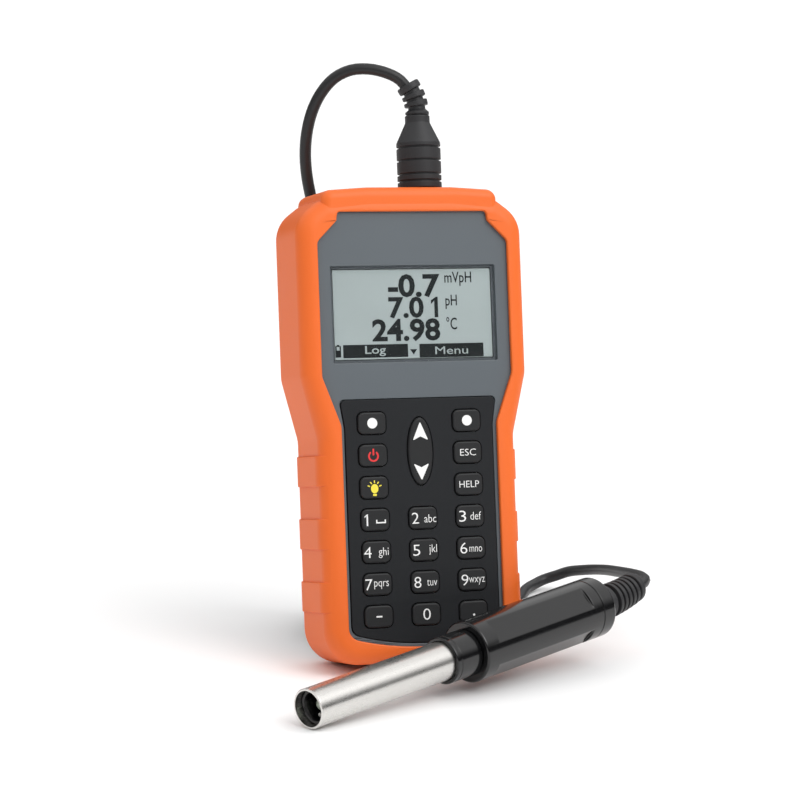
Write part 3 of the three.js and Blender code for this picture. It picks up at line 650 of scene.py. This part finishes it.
# The crown is a bar of its own between two lower, rounder shoulders.
shoulder_outline = both_sides([
    (40.6, 0, 14), (40.6, 87.5, 12), (46.6, 111.5, 10),
    (46.6, 172.6, 13), (36, 180.4, 8), (17.7, 182.2, 30),
])
crown_outline = both_sides([(36.3, 140, 4), (36.3, 183.7, 4.2), (17.7, HEIGHT, 30)])
case_outline = inset(boot_outline, 3.5)
face_opening = both_sides([
    *bowed(32.2, 6.1, 4.6), (32.2, 10.7, 5), (32.2, 92.5, 6), (39.3, 111.5, 4), (39.3, 163.6, 3),
    (31.3, 171.6, 1.5), (30.8, 175.2, 1.5),
])
keypad_outline = both_sides([
    *bowed(30.5, 7.6, 4.6), (30.5, 12.2, 4), (30.5, 91.5, 8), (32.2, 102.3, 2),
])
screen_outline = box_outline(0, 135.4, 67.6, 37, 1)
KEY_SIZE = (11.5, 8.5, 2.4)
ROCKER = (0, 81.8, 10.3, 26.4)

KEYS = [
    ("soft_left", -1, 0), ("power", -1, 1), ("light", -1, 2), ("1", -1, 3), ("4", -1, 4), ("7", -1, 5),
    ("minus", -1, 6), ("2", 0, 3), ("5", 0, 4), ("8", 0, 5), ("0", 0, 6), ("soft_right", 1, 0),
    ("escape", 1, 1), ("help", 1, 2), ("3", 1, 3), ("6", 1, 4), ("9", 1, 5), ("point", 1, 6),
]


def key_middle(column, row):
    return column * 19.6, 93.2 - row * 12.45


def gap_to(line, x, z):
    """How far a point is from a closed line, in millimetres."""
    here = Vector((x, z))
    nearest = 1e9
    for a, b in zip(line, line[1:] + line[:1]):
        a, b = Vector(a), Vector(b)
        share = (here - a).dot(b - a) / max((b - a).length_squared, 1e-9)
        nearest = min(nearest, (a + (b - a) * min(max(share, 0), 1) - here).length)
    return nearest


# ---------- boot ----------
def make_boot():
    boot = plate("boot", [shoulder_outline], 0, DEPTH, BOOT_EDGE, 9)
    fuse(boot, plate("crown", [crown_outline], 0.4, DEPTH - 0.4, 3.6, 7))
    for z in GRIPS:
        for side in (-1, 1):
            outline = inset(boot_outline, -GRIP_RISE)
            band = plate("grip", [outline], 0.35, DEPTH - 0.35, BOOT_EDGE + 0.5, 9)
            near, far = sorted((side * 33, side * 46))
            low, high = z - GRIP_HEIGHT / 2, z + GRIP_HEIGHT / 2
            slab = block("slab", (near, -1, low), (far, DEPTH + 1, high))
            combine(band, "INTERSECT", slab)
            soften(
                band,
                lambda x, y, h: min(abs(h - low), abs(h - high)) < 0.01 and abs(x) > 33.1,
                0.55,
            )
            fuse(boot, band)
    cavity = plate("cavity", [inset(case_outline, -0.3)], 1.5, CASE_BACK + 0.3, 2, 3)
    opening = plate("opening", [face_opening], -5, DEPTH / 2)
    window = plate("window", [inset(boot_outline, 5.5)], DEPTH / 2, DEPTH + 5)
    hole = settle(
        lathe("hole", [(0, 160, 0), (9, 160, 0), (9, 190, 0), (0, 190, 0)]),
        Matrix.Translation((SOCKET_X * MM, SOCKET_Y * MM, 0)),
    )
    cut(boot, cavity, opening, window, hole)
    clean(boot)
    lip = rounded(face_opening)
    soften(boot, lambda x, y, z: y < 0.62 and gap_to(lip, x, z) < 0.02, 0.6, 4)
    return done(boot, orange, ROOT, METER, ["rubber_boot"])


make_boot()


# ---------- case ----------
def make_front_shell():
    shell = plate("front_case", [case_outline], FACE, SPLIT + 6, 1.6, 4)
    behind = plate("behind", [inset(boot_outline, -9)], SPLIT, SPLIT + 9)
    inside = plate("inside", [inset(case_outline, 2.2)], FACE + 2.4, 30)
    recess = plate("recess", [inset(screen_outline, -0.3)], -1, WINDOW[1] + 0.1)
    hole = plate("hole", [inset(screen_outline, 0.8)], -1, 12)
    bed = plate("bed", [inset(keypad_outline, -0.3)], -1, 3.2)
    ledge = plate("ledge", [inset(keypad_outline, 1.6)], -1, 12)
    cut(shell, behind, inside, recess, hole, bed, ledge)
    clean(shell)
    soften(shell, lambda x, y, z: abs(y - FACE) < 0.01 and abs(x) < 35 and 7 < z < 155, 0.28, 2)
    return done(shell, case_grey, ROOT, METER, ["front_shell"])


make_front_shell()


def finish_cad_node(name, finish, sharp=40):
    """A hidden or plain CAD node keeps its shape and gets its own finish."""
    node = frame["nodes"][name]
    node.data.materials.clear()
    node.data.materials.append(finish)
    pick(node)
    bpy.ops.object.shade_smooth_by_angle(angle=math.radians(sharp))


CARRIED = {
    "rear_shell": case_grey,
    "case_gasket": seal_black,
    "lcd_backlight": milky,
    "dome_sheet": milky,
    "main_board": board_green,
    "battery_holder": soft_black,
    "battery_1": battery_can,
    "battery_2": battery_can,
    "battery_3": battery_can,
    "battery_4": battery_can,
    "battery_cover_seal": seal_black,
    "socket_seal": seal_black,
    "socket_nut": steel,
    "plug_insert": steel,
    "signal_board": board_green,
    "battery_cover": case_grey,
    "cover_screw_1": steel,
    "cover_screw_2": steel,
    "cover_screw_3": steel,
    "cover_screw_4": steel,
    "glass_bulb": bulb_glass,
    "temperature_pin": steel,
    "coil_tie": soft_black,
}
for name, finish in CARRIED.items():
    finish_cad_node(name, finish)

# ---------- window, display and what it shows ----------
window = plate("window_pane", [screen_outline], WINDOW[0], WINDOW[1], 0.2, 3)
done(window, window_clear, ROOT, METER, ["display_window"])
panel = plate("display", [inset(screen_outline, 1.1)], LCD[0], LCD[1], 0.05, 2)
done(panel, liquid_crystal, ROOT, METER, ["lcd_panel"])

READINGS = [
    ("-0.7", 0.75, 146.35, 8.7, 21.6),
    ("7.0", -2.8, 137.9, 8.0, 14.6),
    ("24.98", -3.05, 129.1, 8.4, 28.2),
    ("mVpH", 19.2, 148.8, 4.4, 11.3),
    ("pH", 16.05, 139.8, 4.4, 4.8),
    ("°C", 15.95, 131.4, 4.8, 4.4),
]
BIG_READING = 5
marks = [
    lettered("reading", body, size, (x, z), LCD[0], 0.03 if size > BIG_READING else 0.008, width)
    for body, x, z, size, width in READINGS
]


def flat_shape(name, outlines, front):
    return plate(name, outlines, front - INK, front)


def figure_one(x, z, height, stroke, front):
    """A figure one: an upright with a flag, x being the middle of the upright."""
    half, top, flag = stroke / 2, height / 2, 0.17 * height
    corners = [
        (-half, -top), (half, -top), (half, top), (0, top), (-half - flag, top - flag),
        (-half - flag, top - flag - stroke), (-half, top - stroke),
    ]
    return flat_shape("one", [[(x + a, z + b, 0) for a, b in corners]], front)


marks.append(figure_one(9.7, 137.9, 8.0, 1.5, LCD[0]))
marks.append(flat_shape("log_bar", [box_outline(-16, 121.2, 26.7, 5.1, 0.3)], LCD[0]))
marks.append(flat_shape("menu_bar", [box_outline(15.5, 120.9, 26.8, 5.4, 0.3)], LCD[0]))
marks.append(flat_shape("arrow", [[(-1.8, 121.6, 0), (-0.35, 119.5, 0), (1.1, 121.6, 0)]], LCD[0]))
CELL_X = -31.4
cell = [box_outline(CELL_X, 121.2, 2.3, 4.4, 0.2), box_outline(CELL_X, 122.4, 1.2, 1.4, 0)]
marks.append(flat_shape("cell", cell, LCD[0]))
marks.append(flat_shape("cell_tip", [box_outline(CELL_X, 123.6, 1.1, 0.5, 0)], LCD[0]))
done(joined("display_marks", marks), dot_dark, ROOT, METER)
words = [
    lettered("log", "Log", 3.2, (-16.1, 121.2), LCD[0] - INK, 0.01, 8.5),
    lettered("menu", "Menu", 3.2, (15.5, 120.9), LCD[0] - INK, 0.0, 13.7),
]
done(joined("display_words", words), liquid_crystal, ROOT, METER)

# ---------- keypad ----------
key_holes = [box_outline(*key_middle(column, row), 12.1, 9.1, 2.7) for name, column, row in KEYS]
rocker_hole = oval_outline(*ROCKER[:2], ROCKER[2] + 0.6, ROCKER[3] + 0.6)
mat = plate("keypad_mat", [keypad_outline, *key_holes, rocker_hole], MAT_FRONT, MAT_FRONT + 1.4, 0.2, 3)
done(mat, mat_black, ROOT, METER, ["keypad_overlay"])

# Legends on a key: text, place from its middle, capital height, width.
LEGENDS = {
    "2": [("2", -3.3, 0, 4.6, 2.9), ("abc", 2.8, -0.3, 3.3, 4.9)],
    "3": [("3", -3.3, 0, 4.6, 2.9), ("def", 2.2, 0, 3.3, 4.5)],
    "4": [("4", -3.8, 0, 4.6, 3.1), ("ghi", 2.7, -0.3, 3.3, 4.1)],
    "5": [("5", -3.3, 0, 4.6, 2.9), ("jkl", 3.5, 0, 3.3, 3.2)],
    "6": [("6", -3.3, 0, 4.6, 2.9), ("mno", 1.7, -0.6, 3.3, 5.3)],
    "7": [("7", -3.8, 0, 4.6, 2.9), ("pqrs", 1.35, -0.3, 3.3, 6.0)],
    "8": [("8", -3.3, 0, 4.6, 2.9), ("tuv", 2.6, -0.3, 3.3, 4.2)],
    "9": [("9", -3.3, 0, 4.6, 2.9), ("wxyz", 1.7, -0.6, 3.3, 6.6)],
    "0": [("0", 0, 0, 4.7, 3.1)],
    "escape": [("ESC", 0, 0, 2.8, 6.6)],
    "help": [("HELP", 0, 0, 2.8, 8.2)],
}


def power_sign(x, z):
    outside, inside = 2.2, 1.5
    turns = [math.radians(125 + 12 * k) for k in range(25)]
    ring = [(outside * math.cos(t), outside * math.sin(t)) for t in turns]
    inner = [(a * inside / outside, b * inside / outside) for a, b in reversed(ring)]
    outline = [(x + a, z + b - 0.3, 0) for a, b in ring + inner]
    stem = box_outline(x, z + 1.3, 0.7, 2.6, 0.2)
    return [flat_shape("ring", [outline], KEY_FRONT), flat_shape("stem", [stem], KEY_FRONT)]


def lamp_sign(x, z):
    pieces = [flat_shape("lamp", [oval_outline(x, z - 0.4, 3.0, 3.6, 32)], KEY_FRONT)]
    pieces.append(flat_shape("foot", [box_outline(x, z - 2.8, 1.5, 0.8, 0.1)], KEY_FRONT))
    for angle in (20, 55, 90, 125, 160):
        turn = math.radians(angle)
        a = Vector((math.cos(turn), math.sin(turn)))
        b = Vector((-a.y, a.x)) * 0.22
        near, far = a * 2.0, a * 3.0
        ray = [(x + p.x, z - 0.2 + p.y, 0) for p in (near - b, far - b, far + b, near + b)]
        pieces.append(flat_shape("ray", [ray], KEY_FRONT))
    return pieces


def space_sign(x, z):
    shape = [(-2, 0.9), (-2, -0.5), (2, -0.5), (2, 0.9), (1.5, 0.9), (1.5, 0), (-1.5, 0), (-1.5, 0.9)]
    return [flat_shape("space", [[(x + a, z + b, 0) for a, b in shape]], KEY_FRONT)]


for name, column, row in KEYS:
    x, z = key_middle(column, row)
    body = "key_" + name
    key = plate(name + "_key", [box_outline(x, z, *KEY_SIZE)], KEY_FRONT, KEY_BACK, 0.65, 5)
    done(key, key_black, body, METER, [body])
    printed = [
        lettered("letter", text, size, (x + dx, z + dz), KEY_FRONT, -0.008, width)
        for text, dx, dz, size, width in LEGENDS.get(name, [])
    ]
    ink = white_ink
    if name.startswith("soft"):
        printed = [flat_shape("dot", [oval_outline(x, z, 4.1, 4.1, 40)], KEY_FRONT)]
    if name == "point":
        printed = [flat_shape("point", [oval_outline(x, z - 1.2, 0.9, 0.9, 20)], KEY_FRONT)]
    if name == "minus":
        printed = [flat_shape("dash", [box_outline(x, z, 2.4, 0.6, 0.1)], KEY_FRONT)]
    if name == "power":
        printed = power_sign(x, z)
        ink = red_ink
    if name == "light":
        printed = lamp_sign(x, z)
        ink = yellow_ink
    if name == "1":
        printed = space_sign(x + 2.1, z - 0.9) + [figure_one(x - 3.5, z, 4.5, 0.6, KEY_FRONT)]
    done(joined(name + "_legend", printed), ink, body, METER)

rocker = plate("rocker_key", [oval_outline(*ROCKER)], KEY_FRONT, KEY_FRONT + 5, 0.9, 5)
done(rocker, key_black, "arrow_rocker", METER, ["arrow_rocker"])
heads = [
    flat_shape("up", [[(-3.2, 86, 0.2), (0, 87.5, 0), (3.2, 86, 0.2), (0, 93.3, 0.3)]], KEY_FRONT),
    flat_shape("down", [[(0, 70.4, 0.3), (3.2, 77, 0.2), (0, 75.5, 0), (-3.2, 77, 0.2)]], KEY_FRONT),
]
done(joined("rocker_arrows", heads), white_ink, "arrow_rocker", METER)

# ---------- socket and plug ----------
AT_SOCKET = METER @ Matrix.Translation((SOCKET_X * MM, SOCKET_Y * MM, 0))
SEAT = 185.5

socket = lathe("socket", [
    (0, 172.4, 0), (6.6, 172.4, 0.4), (6.6, 182.8, 0), (8.7, 182.8, 0.2),
    (8.7, 185.2, 0.5), (5.6, 185.2, 0.4), (5.6, 174.4, 0), (0, 174.4, 0),
])
done(socket, soft_black, ROOT, AT_SOCKET, ["probe_socket"])

RADIUS = 8.75
CORE = 4.4
NECK = 4.9
CONE_LOW = 18.1
CONE_HIGH = 26.2
PLUG_LENGTH = 29.1
GROOVES = [2.5, 5.2, 10.7, 15.9]
GROOVE = 0.8        # how deep and how wide each one is
profile = [(0, SEAT, 0), (CORE, SEAT, 0), (RADIUS, SEAT, 0.5)]
for groove in GROOVES:
    profile += [(RADIUS, SEAT + groove, 0.2), (RADIUS - GROOVE, SEAT + groove, 0.1)]
    profile += [(RADIUS - GROOVE, SEAT + groove + GROOVE, 0.1), (RADIUS, SEAT + groove + GROOVE, 0.2)]
profile += [
    (RADIUS, SEAT + CONE_LOW, 1.0), (NECK, SEAT + CONE_HIGH, 1.0),
    (NECK, SEAT + PLUG_LENGTH, 0.5), (0, SEAT + PLUG_LENGTH, 0),
]
plug = lathe("plug", profile, 96)
core = lathe("core", [(0, SEAT - 1, 0), (CORE, SEAT - 1, 0), (CORE, SEAT + 4, 0), (0, SEAT + 4, 0)])
cut(plug, core)
done(plug, soft_black, "plug", AT_SOCKET, ["plug_body"])


def rib_profile(length, base, ribs, radius, taper, depth, ends):
    """A smooth base, then ribs that get smaller, then an end ring."""
    pitch = (length - base - ends) / ribs
    corners = [(0, 0, 0), (radius, 0, 0.3), (radius, base - 0.35 * pitch, 0.3)]
    for k in range(ribs):
        low = base + k * pitch
        rib = radius - taper * k
        corners += [(rib - depth, low, 0.2), (rib - depth, low + 0.36 * pitch, 0.2)]
        corners += [(rib, low + 0.4 * pitch, 0.35), (rib, low + pitch, 0.35)]
    last = radius - taper * ribs
    corners += [(last - depth, length - ends, 0.2), (last - depth, length - 0.7 * ends, 0.2)]
    corners += [(last, length - 0.65 * ends, 0.5), (last, length, 0.6), (CABLE / 2, length, 0)]
    return corners + [(0, length, 0)]


def bent(piece, route):
    """Bend a body that stands along Z so that it follows a route."""
    line = drawn("bend", [smooth_line([Vector(p) for p in route], 0.8)], closed=False, plane="3D")
    line.data.twist_mode = "MINIMUM"
    pick(piece)
    follow = piece.modifiers.new("follow", "CURVE")
    follow.object = line
    follow.deform_axis = "POS_Z"
    bpy.ops.object.modifier_apply(modifier="follow")
    bpy.data.objects.remove(line)
    return piece


def route_length(route):
    line = smooth_line([Vector(p) for p in route], 0.8)
    return sum((b - a).length for a, b in zip(line, line[1:]))


PLUG_ROUTE = [(0, 0, 0), (0, 0, 2), (-0.4, 0.1, 5), (-1.5, 0.4, 8.6), (-3.4, 0.9, 12.2)]
relief = lathe("plug_relief", rib_profile(route_length(PLUG_ROUTE), 2.2, 2, 4.7, 0.0, 1.3, 4.2), 48)
bent(relief, PLUG_ROUTE)
ABOVE_NECK = AT_SOCKET @ Matrix.Translation((0, 0, (SEAT + 29.4) * MM))
done(relief, soft_black, "plug", ABOVE_NECK, ["plug_strain_relief"])

# ---------- probe ----------
TUBE = 7.55
BORE = 6.75
sleeve = lathe("guard_tube", [
    (BORE, 0, 0.25), (TUBE, 0, 0.3), (TUBE, SLEEVE_LENGTH, 0), (BORE, SLEEVE_LENGTH, 0), (BORE, 0.3, 0),
], 96)
done(sleeve, steel, ROOT, PROBE, ["sensor_sleeve"])

sensor = lathe("sensor", [
    (0, 9.6, 0), (4.2, 9.6, 0.2), (4.8, 4.2, 0.3), (5.4, 3, 0.3),
    (6.45, 3, 0.3), (6.45, 79, 0), (0, 79, 0),
], 64)
stem_hole = lathe("stem_hole", [(0, 0, 0), (1.7, 0, 0), (1.7, 30.3, 0), (0, 30.3, 0)], 32)
pin_hole = settle(
    lathe("pin_hole", [(0, 0, 0), (1, 0, 0), (1, 24.3, 0), (0, 24.3, 0)], 24),
    Matrix.Translation((-3.7 * MM, 0, 0)),
)
cut(sensor, stem_hole, pin_hole)
done(sensor, gloss_black, ROOT, PROBE, ["sensor_body"])

COLLAR = 9.1
collar = lathe("collar", [
    (7.85, 69.8, 0.2), (COLLAR, 69.8, 0.6), (COLLAR, 71.9, 0.3), (8.8, 72.2, 0.2), (COLLAR, 72.5, 0.3),
    (COLLAR, 83.2, 0.3), (7.85, 83.2, 0), (7.85, 70, 0),
], 96)
done(collar, gloss_black, ROOT, PROBE, ["sleeve_collar"])

HANDLE_LOW = 83.5
HANDLE_HIGH = 150.9
HANDLE = 12.0
grip = lathe("handle", [
    (0, HANDLE_LOW, 0), (HANDLE, HANDLE_LOW, 0.9), (HANDLE, HANDLE_HIGH, 0.25), (0, HANDLE_HIGH, 0),
], 128)
for quarter in range(4):
    flat = block("flat", (HANDLE - 1, -7, HANDLE_LOW + 7), (HANDLE + 4, 7, HANDLE_LOW + 62))
    settle(flat, Matrix.Rotation(math.radians(45 + 90 * quarter), 4, "Z"))
    cut(grip, flat)


def at_a_flat(x, y, z):
    """Whether a place is at the border of one of the four flats."""
    return HANDLE_LOW + 6.9 < z < HANDLE_LOW + 62.1 and math.hypot(x, y) < HANDLE + 0.02


soften(grip, at_a_flat, 0.35)
bore = lathe("bore", [
    (0, HANDLE_LOW - 1, 0), (7.85, HANDLE_LOW - 1, 0), (7.85, HANDLE_LOW + 2, 0),
    (9.4, HANDLE_LOW + 2, 0), (9.4, HANDLE_HIGH + 1, 0), (0, HANDLE_HIGH + 1, 0),
], 64)
cut(grip, bore)
done(grip, gloss_black, ROOT, PROBE, ["probe_handle"])

cap = lathe("end_cap", [
    (3.2, HANDLE_HIGH + 0.3, 0), (HANDLE, HANDLE_HIGH + 0.3, 0.3), (HANDLE, HANDLE_HIGH + 7.3, 1.4),
    (3.2, HANDLE_HIGH + 7.3, 0.3), (3.2, HANDLE_HIGH + 0.5, 0),
], 96)
done(cap, gloss_black, ROOT, PROBE, ["handle_end_cap"])

PROBE_ROUTE = [(0, 0, 0), (0, 0, 4.5), (0.2, -0.2, 11.5), (0.7, -0.8, 19.5), (1.4, -1.8, 26.2)]
boot_end = lathe("probe_relief", rib_profile(route_length(PROBE_ROUTE), 7.6, 5, 6.9, 0.14, 1.7, 4.4), 64)
bent(boot_end, PROBE_ROUTE)
BEHIND_CAP = PROBE @ Matrix.Translation((0, 0, (HANDLE_HIGH + 7.61) * MM))
done(boot_end, soft_black, ROOT, BEHIND_CAP, ["probe_strain_relief"])

# ---------- the cable's first point and its route in metres, worked out and not kept ---
[part * MM for part in cable_line[0]]
[[part * MM for part in point] for point in cable_line]

# ---------- floor and light: a bright dome overhead, dark round the sides ----------
DOME_LEVEL = 1.12
SIDES_LEVEL = 0.05
bpy.ops.object.select_all(action="DESELECT")
bpy.ops.mesh.primitive_plane_add(size=80, location=(0, 20, -0.0002))
floor = bpy.context.object
floor.name = "floor"
paper = plain_finish(
    "paper", (0.93, 0.93, 0.93), (0.91, 0.91, 0.91),
    0.7, 200, 3, 0.01,
)
floor.data.materials.append(paper)

world = bpy.data.worlds.new("studio")
bpy.context.scene.world = world
world.use_nodes = True
sky = world.node_tree.nodes
towards = sky.new("ShaderNodeTexCoord")
parts = sky.new("ShaderNodeSeparateXYZ")
dome = sky.new("ShaderNodeValToRGB")
for position, level in [(0.2, SIDES_LEVEL), (0.5, DOME_LEVEL)]:
    stop = dome.color_ramp.elements.new(position)
    stop.color = (level, level, level, 1)
dome.color_ramp.elements.remove(dome.color_ramp.elements[0])
dome.color_ramp.elements.remove(dome.color_ramp.elements[-1])
world.node_tree.links.new(towards.outputs["Generated"], parts.inputs[0])
world.node_tree.links.new(parts.outputs["Z"], dome.inputs[0])
world.node_tree.links.new(dome.outputs[0], sky["Background"].inputs["Color"])
sky["Background"].inputs["Strength"].default_value = 1.0


def softbox(name, place, aim, size, power):
    bpy.ops.object.select_all(action="DESELECT")
    bpy.ops.object.light_add(type="AREA", location=place)
    lamp = bpy.context.object
    lamp.name = name
    lamp.data.shape = "RECTANGLE"
    lamp.data.size, lamp.data.size_y = size
    lamp.data.energy = power
    lamp.rotation_euler = (Vector(aim) - Vector(place)).to_track_quat("-Z", "Y").to_euler()
    return lamp


softbox("front_light", (0.5, -1.3, 1.3), (0, 0, 0.1), (0.6, 0.5), 4)
bpy.ops.object.select_all(action="DESELECT")
bpy.ops.object.light_add(type="SUN", location=(1, -2, 2))
sun = bpy.context.object
sun.name = "key_light"
sun.data.energy = 1.15
sun.data.angle = math.radians(50)
sun.rotation_euler = Vector((-0.55, 0.8, -1.1)).to_track_quat("-Z", "Y").to_euler()

scene = bpy.context.scene
scene.view_settings.view_transform = "Standard"
